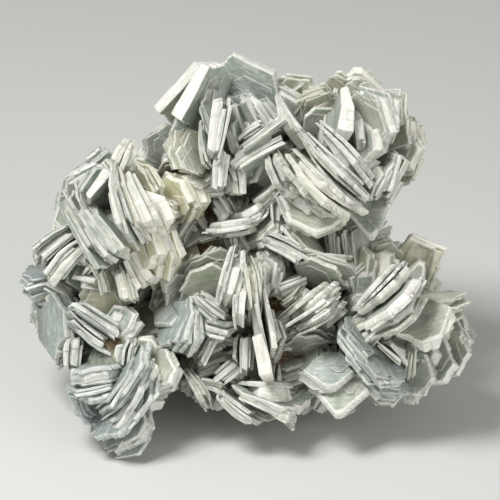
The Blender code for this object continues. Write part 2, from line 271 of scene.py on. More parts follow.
LEFT_LOBE = [
    (-39.4, 6, 18, -60, 14, 22, 14, 6, 0.8, 0, 0.75, 0, 5),
    (-35.6, 5, 20.5, -53, 12, 17, 13, 4, 0.8, 0, 1.2, 0, 6),
    (-39.6, 16, 6, 25, -72, 14, 11, 2, 0.5, -0.3, 1.2, 0.4),
    (-37.2, 15, 21, 51, -16, 10, 8, 1.8, 0.8, 0, 1.2, 0.8, 6),
    (-36, 14, 15, 56, -50, 14, 15, 2.4, 0.5, -0.3, 1.2, 0.4),
    (-30.4, 11, 24, -74, 8, 21, 16, 4.5, 0.5, 0.1, 0.75, 0, 8),
    (-27.2, 11.5, 24.5, -66, 2, 21, 16, 5.4, 0.5, 0.3, 1.1, 0.5, 10),
    (-24.4, 8.5, 20.5, -66, -34, 16, 13, 4, 0.5, 0.8, 1.1),
    (-26.6, 2.8, 20, -74, -40, 17, 13, 1.4, 0.5, 0.8, 1.4, 0.6),
    (-24.8, 2.6, 19, -73, -38, 19, 13, 1.4, 0.5, 0.9, 1.4, 0.6),
    (-23, 2.2, 18, -72, -36, 20, 13, 1.4, 0.5, 0.9, 1.4, 0.6),
    (-21.2, 1.6, 16.5, -71, -34, 18, 13, 1.4, 0.5, 0.9, 1.4, 0.6),
    (-19.4, 13.6, 14, -66, -42, 13, 12, 1.3, 0.5, 0.8, 1.4, 0.5),
    (-17.4, 13.2, 12.6, -68, -42, 14, 12, 1.3, 0.5, 0.9, 1.4, 0.5),
    (-15.6, 12.6, 11, -70, -40, 14, 12, 1.3, 0.5, 0.8, 1.4, 0.5),
    (-13.8, 12.8, 9.4, -72, -40, 12, 11, 1.3, 0.5, 0.8, 1.4, 0.5),
    (-24.5, 17, 19, -60, -20, 11, 9, 3, 0.5, 0.6),
    (-20.5, 10, 16, -25, 10, 6, 8, 6, 0.8, 0.6),
    (-21.2, 26, 0, 33, -68, 13, 12, 3, 0.5, -0.15, 1, 0.4),
    (-19.5, 21, 6, 18, -30, 9, 9, 2.5, 0.5, 0.6),
    (-31, 23.2, 15, 66, 0, 10, 9, 5, 0.5, 0.4, 1, 0.5, -10),
    (-36.6, 20.8, -3, 38, -50, 8, 9, 2.4, 0.8, -0.2, 1.2, 0.4),
    (-41.2, 15.8, -5, 32, -62, 12, 10, 2.4, 0.5, -0.35, 1, 0.4),
    (-45.2, 11.4, 0, 78, -60, 10, 8, 2.4, 0.5, -0.2, 1, 0.4),
    (-48.2, 1.8, 9, 36, -8, 14, 12, 5, 0.8, 0, 0.6, 0, -8),
    (-45.8, -1.8, 10, 46, 8, 14, 12, 4.5, 0.8, 0, 0.9, 0, -8),
    (-34.5, -7, 10, -72, 30, 9, 10, 3, 0.8, 0.3),
    (-30.5, -8.8, 14, -74, 0, 10, 9, 4, 0.8, 0.3),
    (-26.8, -3.8, 14, -62, 18, 11, 10, 4, 0.8, 0.4, 0.8, 0, 6),
]

LEFT_SIDE = [
    (-47.7, -17.8, 3, -85, -36, 21, 14, 4, 0.4, -0.4, 1, 0.3),
    (-52.4, -8.4, -4, 14, 24, 10, 11, 7, 0.6, -0.7, 0.6, 0.3, -10),
    (-50.4, -17, -6, -60, 48, 10, 10, 3, 0.5, -0.4, 0.9, 0.3),
    (-38.6, -17.6, 12.5, -33, -14, 16, 13, 3.4, 0.8, -0.4, 0.75),
    (-40.4, -21, 12, -38, -10, 14, 13, 3, 0.8, -0.4, 0.8),
    (-36.4, -12.6, 9, -6, -62, 13, 12, 2, 0.4, 0.6, 1.2, 0.4),
    (-27.4, -19.6, 5, 18, 62, 11, 11, 2, 0.5, 0.3, 1, 0.3),
    (-43.8, -25.8, 10, 85, 0, 9, 10, 4),
    (-46.5, -27, -4, 60, 0, 7, 9, 3, 0.5, -0.5),
    (-38, -24.2, 4, -25, 58, 12, 10, 2.5, 0.5, 0.1),
]

FOOT_LOBE = [
    (-38.2, -30.4, 18, 10, 10, 14, 13, 4.6, 0.5, -0.6, 1, 0.5, 3),
    (-37.6, -34.4, 18.5, 13, 12, 15, 13, 4, 0.6, -0.7, 0.9, 0.5, 3),
    (-38.4, -37.3, 12, -66, 52, 17, 12, 4, 0.4, -0.9, 1, 0.3),
    (-30.8, -32.6, 19.5, 57, 14, 22, 15, 4.6, 0.5, -0.6, 0.9, 0.5, 6),
    (-28.4, -35.4, 18.5, 54, 24, 22, 15, 4.2, 0.5, -0.5, 1, 0.5, 5),
    (-32.4, -40.2, 18, 56, 38, 18, 14, 3.6, 0.4, -0.8, 1.2, 0.4),
    (-30, -43.7, 16, 60, 46, 17, 14, 4.4, 0.3, -0.4, 1.5, 0.5),
    (-22.2, -29.8, 17, 66, 54, 12, 11.5, 2.4, 0.4, 0.2, 1.2, 0.4),
    (-31, -26.2, 14, 80, 10, 9, 10, 6, 0.8, -0.2),
    (-35.5, -42.6, 13, 50, 20, 10, 10, 3.4, 0.5, -0.6),
    (-21, -33, 3, 30, 40, 8, 8, 2.5, 0.5),
]

HEART = [
    (-12, -5.6, 12, 24, -60, 17, 12, 2, 0.35, 0.2, 1, 0.4),
    (-11.4, -8.6, 15, 22, -60, 15, 11, 2, 0.35, 0.1, 1, 0.4),
    (-17.4, -9.2, 12, 48, -55, 13, 10, 2.6, 0.35, 0, 1, 0.4),
    (-18.6, -15.8, 15.5, 46, 34, 11, 11, 1.6, 0.5, -0.3, 0.8, 0.4, -8),
    (-18.6, -18.8, 17.5, 68, 28, 14, 12, 1.8, 0.5, -0.6, 0.8, 0.4, -8),
    (-16.6, -19.4, 19, 79, 26, 15.5, 12, 2.2, 0.5, -0.5, 0.9, 0.5, -8),
    (-14.6, -18.8, 18.5, 93, 24, 14, 12, 1.8, 0.5, -0.3, 0.8, 0.4, -8),
    (-13, -17.2, 17.5, 108, 20, 11, 11, 1.6, 0.5, -0.2, 0.8, 0.4, -8),
    (-11.2, -24.5, 16, 66, 5, 10, 9, 2.8),
    (-9.2, -14.2, 20, -38, 0, 10, 10, 5),
    (-8.2, -18.8, 19, -14, 10, 10, 10, 4, 0.5),
    (-5, -7.5, 22, 75, 5, 16, 14, 5, 0.5),
    (-2.8, -14.2, 26, 88, 0, 11, 11, 3, 0.5, 0.1),
    (-0.5, -9, 21, 98, 0, 18, 15, 5, 0.5, 0.3),
    (1.4, -9.4, 18.5, 90, 4, 17, 14, 4, 0.5, 0.2, 0.7),
    (2.6, -18, 20.5, -81, -5, 21, 15, 4, 0.7, 0.1, 0.8),
    (3.6, -25.6, 21.5, -76, 4, 13, 12, 2.6, 0.8, 0.2, 4, 0.6),
    (4.8, -20, 16, -74, -30, 12, 10, 3, 0.5, 0.1),
    (-1.2, -25.5, 15, 88, 0, 10, 9, 4),
    (-5.5, -30.5, 12, 40, 0, 8, 9, 4),
    (3.2, -6.2, 12, 80, 40, 12, 10, 4, 0.5, 0.1),
    (8.2, -8.7, 9, -50, 20, 12, 10, 3, 0.5, 0.2),
    (7.8, -18, 9, -65, 10, 9, 9, 3, 0.5, 0.3),
]

LOW_FAN = [
    (3.8, -35, 15, -5, 0, 15, 13, 4.5, 0.5, 0, 1.2, 0, 6, 8),
    (3.4, -36.8, 17, -21, 10, 17, 12, 2, 0.8, -0.1, 0.7, 0, 5),
    (5.4, -38.8, 17.4, -31, 6, 12, 11, 2.2, 0.8, 0.1, 1, 0, 5),
    (10.4, -36.6, 12.5, -14, 42, 9, 9, 2, 0.8, -0.1, 0.8, 0.3),
    (8.2, -40.2, 16, -36, 0, 9, 10, 3, 0.8, 0.1),
    (-3.2, -39, 15, -38, 5, 12.5, 12, 3),
    (1.2, -38.8, 10, -25, 35, 12, 10, 3, 0.5),
    (-12.2, -34.8, 11, -61, 0, 13, 11, 2.6, 0.5, 0.1),
    (-9, -33, 11, -20, 5, 8, 9, 2.5, 0.8, 0.2),
]

RIGHT_LOBE = [
    (16.2, -14.2, 19, 36, 0, 17, 15, 7.5, 0.35, 0.1),
    (18.8, -5.8, 13, -19, -38, 19, 12, 4, 0.5, 0.1),
    (32.4, -9, 24, 44, 4, 17, 15, 4.4, 0.35, 0.1, 1),
    (36, -14.5, 27, 42, 10, 19, 16, 6, 0.35, 0.1, 1.2),
    (42.2, -18.6, 22, 20, 52, 17, 14, 4.4, 0.3, 0.1, 1.5, 0.6),
    (46.4, -14, 13, 2, 14, 15, 13, 5.2, 0.5, 0.3, 0.7, 0, 8),
    (49.7, -23, 2, 64, 54, 14, 12, 2, 0.4, 0.2, 1.4, 0.5),
    (49, -25.8, 5, 60, 56, 14, 12, 2, 0.4, 0.2, 1.4, 0.5),
    (45.6, -28.8, 9, 58, 56, 14, 12, 2, 0.4, 0.1, 1.4, 0.5),
    (41, -30.6, 12.5, 62, 56, 14, 12, 2, 0.4, 0, 1.4, 0.5),
    (44, -25.4, 9, 60, 54, 10, 9, 2, 0.4, 0, 1),
    (26.6, -22.6, 19, -52, 26, 14, 12, 4, 0.6, -0.5, 0.5, 0.2, 8),
    (30.5, -27, 18.5, -46, 34, 17, 13, 4, 0.5, -0.5, 0.6, 0.2),
    (32.2, -31.6, 14, -42, 40, 16, 12, 4, 0.5, -0.5, 0.6, 0.2),
    (34.6, -25, 21, -40, 0, 8, 9, 2, 0.8, 0, 1),
    (21.4, -33.2, 17, 2, 60, 17.5, 17, 2.2, 0.1, 0.1, 1.4, 0.55),
    (20.2, -30.4, 19, 3, 58, 15, 10, 2.2, 0.2, -0.2, 1.2, 0.7),
    (33.8, -34.6, 8, -5, 60, 11, 10, 2.5, 0.35, 0.1, 1, 0.4),
    (40, -35, 7, -70, 10, 7, 8, 2, 0.8, 0.1),
    (23, -38.4, 3, 30, 40, 7, 8, 2.4, 0.5),
    (14, -22, 12, 8, -42, 14, 11, 4, 0.5),
    (20.8, -16.2, 16, 42, 0, 7, 7, 2),
    (28.6, -4.6, 10, 84, 30, 11, 8, 3, 0.6, 0.3, 0.7),
    (33.4, -1.2, 4, 20, -55, 9, 8, 2, 0.5, 0.4, 1, 0.5),
    (9.4, -29.6, 10, 20, 40, 10, 9, 3, 0.6, 0.2),
    (11, -33.4, 9, -25, 45, 12, 10, 3, 0.6),
    (15.5, -26.8, 10, 50, 30, 10, 10, 4, 0.5),
]

SADDLE = [
    (40.6, -3.6, 3, -22, -72, 11.6, 15, 2.2, 0.8, 0.6, 1, 0.35),
    (35.4, -3.2, 0, -5, -60, 10, 8, 2.2, 0.8, 0.5, 0.8, 0.3),
    (9.2, 0.8, 13, -28, 0, 14, 11, 4),
    (12.6, 2.6, 9, -51, 28, 13, 8, 2.2, 0.8, 0.1, 0.8, 0.3),
    (21.2, -3.2, 10, -8, 0, 12, 10, 4, 0.5, 0.2),
    (25.2, -1, 4, -82, 38, 14, 12, 8.6, 0.8, 0.2),
    (-4.5, 5.5, 12, 8, 5, 14, 11, 4, 0.5, 0.1),
    (1, 9.2, 10, 30, 10, 10, 9, 4, 0.5),
    (3.5, 4.5, 10, 48, 30, 11, 9, 3, 0.5),
    (-5.5, 11.2, 6, -60, 20, 10, 9, 4, 0.5),
    (6.2, 11.8, 8, 80, 10, 9, 9, 5),
    (-13.5, 6.5, 4, 25, 60, 12, 11, 2.5, 0.8, 0.2),
    (-16, -3, 8, 0, 60, 10, 9, 2.5, 0.5, 0.5),
]


def measure(name, description, value, least=0, **settings):
    return FloatProperty(
        name=name, description=description, default=value, min=least, **settings)


class BariteSizes(bpy.types.PropertyGroup):
    overlap: measure(
        "Overlap", "Most that two blades of a book grow into one another", 0.22 * MM,
        unit="LENGTH")
    # Width of the white margin, which is milky edge colour with painted glow
    milky_glow_rim: measure(
        "Rim width", "Width of the white margin inside a blade's chamfer", 0.7 * MM, 0.1 * MM,
        unit="LENGTH")
    chamfer: measure(
        "Chamfer", "Width of the chisel edge as a share of the thickness", 0.5, 0.05, max=2)
    filler: measure(
        "Filler blades", "Share of the crust's spots that carry a small blade", 1.0, max=1,
        subtype="FACTOR")


def colour(name, description, value):
    return FloatVectorProperty(
        name=name, description=description, default=value, min=0, max=1, size=3,
        subtype="COLOR")


class BariteColours(bpy.types.PropertyGroup):
    face: colour("Face", "Flat sides of the blades", (0.37, 0.42, 0.365))
    # Rim colour: milky edges with painted glow of light through them, also used for the milky
    # streaks
    milky_glow_rim: colour("Rim", "White margins and edges", (0.91, 0.895, 0.82))
    cream: colour("Cream", "Blades with a yellow cast", (0.67, 0.635, 0.40))
    blue: colour("Blue", "Glassy blue blades", (0.285, 0.35, 0.36))
    # Painted shade deep at the blades' roots; on the crust, the dark tone of its mottling
    root_shade_and_mottle: colour("Hollow", "Shaded roots of the blades", (0.17, 0.18, 0.14))
    stain: colour("Stain", "Iron staining in the hollows", (0.09, 0.045, 0.015))
    floor: colour("Floor", "Plain pale floor", (0.72, 0.72, 0.70))


class BariteStage(bpy.types.PropertyGroup):
    distance: measure(
        "Camera distance", "From the camera to the cluster's middle", 1.2, 0.3, unit="LENGTH")
    field: measure(
        "Field", "Width that the picture shows at the cluster's middle", 125 * MM, 0.01,
        unit="LENGTH")
    key: measure(
        "Key light", "Power of the soft key light above the front", 3.35, unit="POWER")
    fill: measure("Fill light", "Power of the wide light at the front", 6.5, unit="POWER")


def view_matrix():
    """From the view frame, in millimetres, to the world, in metres."""
    lean = math.radians(LEAN)
    rows = (
        (1, 0, 0, 0),
        (0, math.sin(lean), -math.cos(lean), 0),
        (0, math.cos(lean), math.sin(lean), LIFT),
        (0, 0, 0, 1),
    )
    return Matrix.Scale(MM, 4) @ Matrix(rows)


def book_axes(turn, face):
    """Unit vectors along the blades' length, along their width outwards, and through them."""
    angle = math.radians(turn)
    roll = math.radians(face)
    along = Vector((math.cos(angle), math.sin(angle), 0))
    edge_on = Vector((-math.sin(angle), math.cos(angle), 0))
    through = math.cos(roll) * edge_on + math.sin(roll) * along.cross(edge_on)
    return along, along.cross(through), through


def new_object(name, data):
    thing = bpy.data.objects.new(name, data)
    bpy.context.collection.objects.link(thing)
    return thing


def new_mesh(name, shape):
    """The mesh of a bmesh, which is freed."""
    mesh = bpy.data.meshes.new(name)
    shape.to_mesh(mesh)
    shape.free()
    return mesh


class BladeMesh:
    """Gathers blades, with what their material needs to know at each point."""

    def __init__(self, scene, chance):
        self.sizes = scene.barite_sizes
        self.colours = scene.barite_colours
        self.chance = chance
        self.faces = []
        self.table = []
        self.total = 0

    def add_rings(self, faces, *columns):
        """Columns hold where each point is, its rim share of milky edge and painted glow, its
        place in the pattern and its tone.
        """
        self.faces.extend([tuple(number + self.total for number in face) for face in faces])
        self.table.append(np.column_stack(columns))
        self.total += len(columns[0])

    def finish(self, name):
        """Make the object of all the blades, with nothing below the floor."""
        table = np.concatenate(self.table)
        place = np.array(view_matrix())
        points = table[:, :3] @ place[:3, :3].T + place[:3, 3]
        points[:, 2] = np.maximum(points[:, 2], 0)
        mesh = bpy.data.meshes.new(name)
        mesh.from_pydata(points.tolist(), [], self.faces)
        for label, kind, field, values in (
                ("milky_glow_rim", "FLOAT", "value", table[:, 3]),
                ("place", "FLOAT_VECTOR", "vector", table[:, 4:7]),
                ("tone", "FLOAT_VECTOR", "vector", table[:, 7:])):
            layer = mesh.attributes.new(label, kind, "POINT")
            layer.data.foreach_set(field, values.astype(np.float32).ravel())
        mesh.materials.append(bpy.data.materials.get(BLADES) or blade_material(self.colours))
        mesh.update()
        dress(new_object(name, mesh))


def dress(thing):
    """Tell the frame what the object rides on and replaces."""
    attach(thing, BODY)
    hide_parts(NODE)


def stepped_edge(start, end, chance, ledges, depth, slope):
    """Points along one edge, set back here and there by the ledges of parallel growth."""
    run = end - start
    length = max(np.hypot(*run), 0.01)
    inward = np.array((-run[1], run[0])) / length
    points = [start]
    level = 0.0
    share = chance.uniform(0.12, 0.4)
    for _ in range(ledges):
        if share > LAST_LEDGE:
            break
        fresh = chance.choice((0.0, 0.5, 1.0)) * depth * chance.uniform(0.4, 1.1)
        points.append(start + run * share + inward * level)
        points.append(start + run * (share + slope) + inward * fresh)
        level = fresh
        share += slope + chance.uniform(0.15, 0.4)
    return points


def crystal_outline(length, width, nose, chance, ledges):
    """A tabular crystal seen on its flat side: six corners with ledges between them."""
    end = length / 2
    side = width / 2
    left, right = (end * min(nose * chance.uniform(0.7, 1.25), 0.95) for _ in range(2))
    drop = side * chance.uniform(-0.25, 0.25)
    root = side * (1 + ROOT_SHARE)
    corners = np.array([
        (-end, drop), (-left, -root), (right, -root), (end, -drop), (right, side), (-left, side),
    ])
    # Edge 4 is the open side, and edges 0 to 2 are at the root
    points = []
    for number, corner in enumerate(corners):
        after = corners[(number + 1) % len(corners)]
        if number == 4:
            points.extend(stepped_edge(corner, after, chance, ledges, *SIDE_LEDGE))
        elif number > 2 or chance.random() < 0.3:
            points.extend(stepped_edge(corner, after, chance, ledges, *END_LEDGE))
        else:
            points.append(corner)
    return np.array(points)


def ring_faces(rings, count):
    """Quads between neighbouring rings, and one face over each end ring."""
    faces = [tuple(reversed(range(count)))]
    for ring in range(rings - 1):
        low = ring * count
        for corner in range(count):
            after = (corner + 1) % count
            faces.append((low + corner, low + after, low + count + after, low + count + corner))
    faces.append(tuple(range((rings - 1) * count, rings * count)))
    return faces


def blade_rings(outline, size, thickness, milky_glow_rim, chamfers, edges, white, one_sided):
    """Rings of a chisel-edged blade from its underside to its top, with their rim values, shares
    of milky edge and painted glow.

    The chisel edge is on the open side and, narrower, at the ends. The root stays square.
    White is the rim value of the narrow side. A one-sided blade is flat underneath.
    """
    half = thickness / 2
    steps = []
    for side, chamfer, edge in zip((-1, 1), chamfers, edges):
        steps.append([
            (chamfer + milky_glow_rim, side * half, 0.0),
            (chamfer + milky_glow_rim * WHITE_SHARE, side * half, 0.7),
            (chamfer, side * half, 1.0),
            (0.0, side * edge * half, white),
        ])
    lower, upper = steps
    if one_sided:
        lower = [(0.0, -half, white)]
    rings = []
    milky_glow_rims = []
    for inset, height, value in lower + upper[::-1]:
        scale = (max(1 - 2 * END_SHARE * inset / size[0], 0.12), max(1 - inset / size[1], 0.4))
        ring = outline * scale - (0, inset / 2)
        rings.append(np.column_stack((ring, np.full(len(outline), height))))
        milky_glow_rims.append(np.full(len(outline), value))
    return np.concatenate(rings), np.concatenate(milky_glow_rims), len(rings)


def turn_about(points, first, second, pivot, angle):
    """Turn points in the plane of two of their axes about a pivot."""
    near = points[:, first] - pivot[0]
    far = points[:, second] - pivot[1]
    points[:, first] = pivot[0] + near * math.cos(angle) - far * math.sin(angle)
    points[:, second] = pivot[1] + near * math.sin(angle) + far * math.cos(angle)


def stain_at(point):
    """How strongly a spot of the view frame is stained, from nought to one."""
    strength = 0.0
    for across, up, radius in STAINS:
        distance = math.hypot(point[0] - across, point[1] - up)
        strength = max(strength, 1.6 - distance / radius)
    return min(max(strength, 0.0), 1.0)


def add_blade(shape, move, outline, size, thickness, warm, broad=1, bevel=0.0, one_sided=False):
    """One blade. Broad says which flat side has the broad bevel: 0 under, 1 over, or None.

    Move takes its points to their place in the book and on to the view frame.
    """
    chance = shape.chance
    widest = min(size) * WIDEST_BEVEL
    margin = shape.sizes.milky_glow_rim / MM * (bevel or USUAL_BEVEL) / USUAL_BEVEL
    milky_glow_rim = min(margin * chance.uniform(0.5, 1.4), widest)
    chamfers = []
    edges = []
    for side in (0, 1):
        share, height = (BROAD_BEVEL, BROAD_EDGE) if side == broad else (SLIGHT_BEVEL, SLIGHT_EDGE)
        chamfer = (bevel or thickness * shape.sizes.chamfer) * chance.uniform(*share)
        chamfers.append(min(chamfer, widest))
        edges.append(chance.uniform(*height))
    if one_sided:
        milky_glow_rim *= 0.5
    # Whiteness of the narrow side: milky colour and painted glow, more on thicker blades
    white = (CLEAR_EDGE + MILKY_GLOW_EDGE * thickness) * chance.uniform(0.7, 1.2)
    points, milky_glow_rims, rings = blade_rings(
        outline, size, thickness, milky_glow_rim, chamfers, edges, min(white, 1.0), one_sided)
    places = points + np.array([chance.uniform(-50, 50) for _ in range(3)])
    root = np.clip(0.5 - points[:, 1] / size[1], 0, 1)
    points = move(points)
    stain = stain_at(points.mean(axis=0))
    tones = np.column_stack((np.full(len(points), warm), root, np.full(len(points), stain)))
    shape.add_rings(ring_faces(rings, len(outline)), points, milky_glow_rims, places, tones)


def layer_thicknesses(stack, grain, chance):
    """Thick and thin blades that fill a stack, none of them a mere sliver."""
    layers = []
    left = stack
    while left > 0:
        thickness = grain * chance.choice(GRAINS) * chance.uniform(0.85, 1.15)
        if left - thickness < grain * GRAINS[0]:
            thickness = left
        layers.append(thickness)
        left -= thickness
    return layers


def pinch(points, book, fan, flare, lens, bow):
    """Squeeze a book towards the end and the root that its blades spring from, and bend it."""
    along = np.clip(2 * points[:, 0] / book.length, -1.3, 1.3)
    out = np.clip(2 * points[:, 1] / book.width, -1.3, 1.3)
    opened = np.maximum(1 + fan / 2 * along, 0.15) * (1 + flare / 2 * out)
    points[:, 2] *= opened * (1 - lens * along ** 2)
    points[:, 2] += bow * along ** 2


def ledge_count(book, plain):
    """How many ledges an edge may have."""
    if plain or book.nose < RHOMB_NOSE:
        return 0
    return 2 if book.length > LONG_BLADE else 1


def grow_book(shape, centre, axes, book, plain=False):
    """A tight book of blades, thick and thin, each a little out of step with the last.

    Axes are those of book_axes. A plain book has no ledges and no steps.
    """
    chance = shape.chance
    fan = book.length * math.tan(math.radians(book.splay)) / book.stack
    fan = min(max(fan, -MOST_FAN), MOST_FAN)
    flare = min(book.width * math.tan(math.radians(book.flare)) / book.stack, MOST_FLARE)
    lens = chance.uniform(*LENS)
    bow = chance.uniform(-BOW, BOW)
    lit = int(axes[2].dot(LIGHT_FROM) > 0)
    shaded = (axes[1] + axes[2] * (2 * lit - 1)).dot(LIGHT_FROM) < LEAST_LIGHT
    basis = np.array([tuple(axis) for axis in axes])
    base = -book.stack / 2
    for layer in layer_thicknesses(book.stack, book.grain, chance):
        offset = base + layer / 2
        base += layer
        tilt = 2 * offset / book.stack
        shrink = 1 - TAPER * tilt * tilt
        length = book.length * shrink * (1 - (1 - SHORTEST) * chance.random() ** 3)
        width = book.width * shrink * chance.uniform(0.92, 1.02)
        thickness = layer + shape.sizes.overlap / MM * chance.random()
        slide = chance.uniform(-SLIDE_JITTER, SLIDE_JITTER) * book.length
        push = chance.gauss(0, PUSH_JITTER)
        most = REBEL_TURN if chance.random() < REBEL_SHARE else TURN_JITTER
        lean, sweep, twist = (math.radians(chance.uniform(-most, most)) for _ in range(3))

        def move(points, lift=0.0):
            points[:, 2] += lift
            turn_about(points, 0, 1, (0, -book.width / 2), twist * 2)
            turn_about(points, 1, 2, (-book.width / 2, 0), lean)
            turn_about(points, 0, 2, (0, 0), sweep)
            points += (slide, push, offset)
            pinch(points, book, fan, flare, lens, bow)
            return points @ basis + np.array(centre)

        outline = crystal_outline(length, width, book.nose, chance, ledge_count(book, plain))
        warm = book.warm + chance.uniform(-0.15, 0.15)
        broad = None
        if not shaded:
            broad = lit if chance.random() < BROAD_SHARE else 1 - lit
        add_blade(shape, move, outline, (length, width), thickness, warm, broad, book.bevel)
        if not plain and (abs(book.face) > FACE_ON or chance.random() < PLATELET_SHARE):
            add_platelets(shape, move, (length, width, book.nose), thickness, warm)


def add_platelets(shape, move, form, thickness, warm):
    """Thin steps of later growth on both flat sides of a blade, of the same form."""
    chance = shape.chance
    length, width, nose = form
    for side in (-1, 1):
        level = thickness / 2
        share = 1.0
        shift = np.zeros(2)
        for _ in range(chance.choice((0, 1, 1, 1, 2))):
            smaller = share * chance.uniform(0.5, 0.85)
            room = (share - smaller) / 2
            aside = chance.choice((-1, 1)) * room * chance.uniform(0.75, 1.05)
            outwards = chance.choice((-1, 1)) * room * chance.uniform(0.6, 1.05)
            shift = shift + np.array((aside * length, outwards * width))
            share = smaller
            level += PLATELET_HEIGHT / 2

            def settle(points, side=side, level=level, shift=shift):
                points[:, :2] += shift
                points[:, 2] *= side
                return move(points, side * level)

            small = (length * share, width * share)
            outline = crystal_outline(*small, nose, chance, 0)
            add_blade(shape, settle, outline, small, PLATELET_HEIGHT, warm, one_sided=True)
            level += PLATELET_HEIGHT / 2


def wander(chance, most):
    """A random vector with each axis within a reach."""
    return Vector([chance.uniform(-most, most) for _ in range(3)])


def loose_axes(outwards, chance):
    """Axes of a book that stands outwards and is spun at random."""
    along = outwards.cross(wander(chance, 1)).normalized()
    return along, outwards, outwards.cross(along)


def outline_point(share):
    """A point at a share of the way round the outline."""
    number, mix = divmod(share * len(OUTLINE), 1)
    start = OUTLINE[int(number) % len(OUTLINE)]
    end = OUTLINE[(int(number) + 1) % len(OUTLINE)]
    return Vector((*start, 0)).lerp(Vector((*end, 0)), mix)


def grow_back(scene):
    """Rings of books that stand out from the back, each turned its own way."""
    chance = random.Random(RING_SEED)
    fine = random.Random(RING_SEED + 1)
    shape = BladeMesh(scene, fine)
    for depth, scale, count in RINGS:
        for number in range(count):
            edge = outline_point((number + chance.uniform(-0.25, 0.25)) / count % 1)
            centre = edge * scale + Vector((0, 0, depth))
            sideways = edge.normalized() * scale
            outwards = (sideways + Vector((0, 0, depth / BACK_REACH))).normalized()
            axes = loose_axes(outwards, chance)
            size = chance.uniform(0.8, 1.1)
            nose = chance.choice((0.3, 0.5, 0.8))
            book = Book(0, RING_LENGTH * size, RING_WIDTH * size, RING_STACK * size, nose,
                        fine.uniform(-0.3, 0.4), grain=1.3, splay=6, flare=12)
            middle = centre - outwards * book.width * RING_SUNK_SHARE
            grow_book(shape, middle, axes, book)
    shape.finish("back_blades")


def buried(point):
    """Whether a point lies well inside one of the crust's lumps."""
    for across, up, out, *halves in LUMPS:
        away = point - Vector((across, up, out))
        if sum((away[axis] / halves[axis]) ** 2 for axis in range(3)) < BURIED:
            return True
    return False


def grow_filler(shape, spot, outwards):
    """A small book that stands on the crust."""
    chance = shape.chance
    axes = loose_axes(outwards, chance)
    length = chance.uniform(*FILLER_LENGTH)
    width = chance.uniform(*FILLER_WIDTH)
    stack = chance.choice(FILLER_STACKS)
    nose = chance.choice((0.4, 0.6, 0.8))
    warm = chance.uniform(-0.3, 0.5)
    book = Book(0, length, width, stack, nose, warm, grain=1, splay=8, flare=14)
    grow_book(shape, spot - outwards, axes, book, plain=True)


def add_foot_fillers(shape):
    """Small books round the back of the foot, in rows up from the floor."""
    chance = shape.chance = random.Random(FOOT_SEED)
    back = view_matrix().inverted()
    for height in FOOT_ROWS:
        drawn = 1 - (1 - FOOT_DRAW_IN) * height / FOOT_HEIGHT
        for number in range(FOOT_BOOKS):
            angle = math.radians(FOOT_BOOKS_FROM + FOOT_BOOKS_TURN * number / FOOT_BOOKS
                                 + chance.uniform(-5, 5))
            aside = Vector((math.cos(angle) * FOOT_RADII[0], math.sin(angle) * FOOT_RADII[1]))
            flat = Vector(FOOT_MIDDLE) + aside * drawn
            spot = back @ (Vector((*flat, height + chance.uniform(-2, 2))) * MM)
            outwards = Vector((*aside.normalized(), 0.2)) + wander(chance, 0.4)
            grow_filler(shape, spot, (back.to_3x3() @ outwards.normalized()).normalized())


def grow_fillers(scene):
    """Small blades that grow out of the crust wherever the books leave room."""
    shape = BladeMesh(scene, None)
    for number, (across, up, out, *halves) in enumerate(LUMPS):
        chance = shape.chance = random.Random(FILLER_SEED + number)
        area = halves[0] * halves[1] + halves[1] * halves[2] + halves[0] * halves[2]
        for _ in range(int(area * FILLERS_EACH_AREA * shape.sizes.filler)):
            ray = Vector([chance.gauss(0, 1) for _ in range(3)]).normalized()
            spot = Vector((across, up, out)) + ray * Vector(halves)
            if buried(spot):
                continue
            normal = Vector([ray[axis] / halves[axis] for axis in range(3)]).normalized()
            grow_filler(shape, spot, (normal + wander(chance, 0.5)).normalized())
    add_foot_fillers(shape)
    shape.finish("filler_blades")


def make_crust(material):
    """Massive barite: the lumps and the cut foot melted into one rough body."""
    shape = bmesh.new()
    place = view_matrix()
    for across, up, out, *halves in LUMPS:
        size = Matrix.Diagonal((*halves, 1))
        spot = Matrix.Translation((across, up, out))
        bmesh.ops.create_icosphere(shape, subdivisions=3, radius=1, matrix=place @ spot @ size)
    add_foot(shape)
    bmesh.ops.recalc_face_normals(shape, faces=shape.faces)
    thing = new_object("crust", new_mesh("crust", shape))
    melt = thing.modifiers.new("melt", "REMESH")
    melt.mode = "VOXEL"
    melt.voxel_size = CRUST_GRAIN * MM
    solid = bpy.data.meshes.new_from_object(
        thing.evaluated_get(bpy.context.evaluated_depsgraph_get()))
    thing.modifiers.clear()
    thing.data = solid
    roughen(solid)
    solid.materials.append(material)
    dress(thing)


def add_foot(shape):
    """The broken foot of the crust, flat on the floor."""
    points = []
    for height, share in ((0, 1), (FOOT_HEIGHT, FOOT_DRAW_IN)):
        for corner in FOOT_CORNERS:
            flat = Vector(FOOT_MIDDLE).lerp(Vector(corner), share)
            points.append(shape.verts.new(Vector((*flat, height)) * MM))
    for face in ring_faces(2, len(FOOT_CORNERS)):
        shape.faces.new([points[number] for number in face])


def roughen(mesh):
    """Push the crust's points in and out, and store where it is stained."""
    back = view_matrix().inverted()
    stains = mesh.attributes.new("stain", "FLOAT", "POINT")
    for number, vertex in enumerate(mesh.vertices):
        spot = back @ vertex.co
        stains.data[number].value = stain_at(spot)
        if vertex.co.z > 0.8 * MM:
            push = noise.noise(spot * 0.22) * 1.3 + noise.noise(spot * 0.7) * 0.6
            vertex.co += vertex.normal * (push - 0.6) * MM
        vertex.co.z = max(vertex.co.z, 0.0)
    mesh.update()


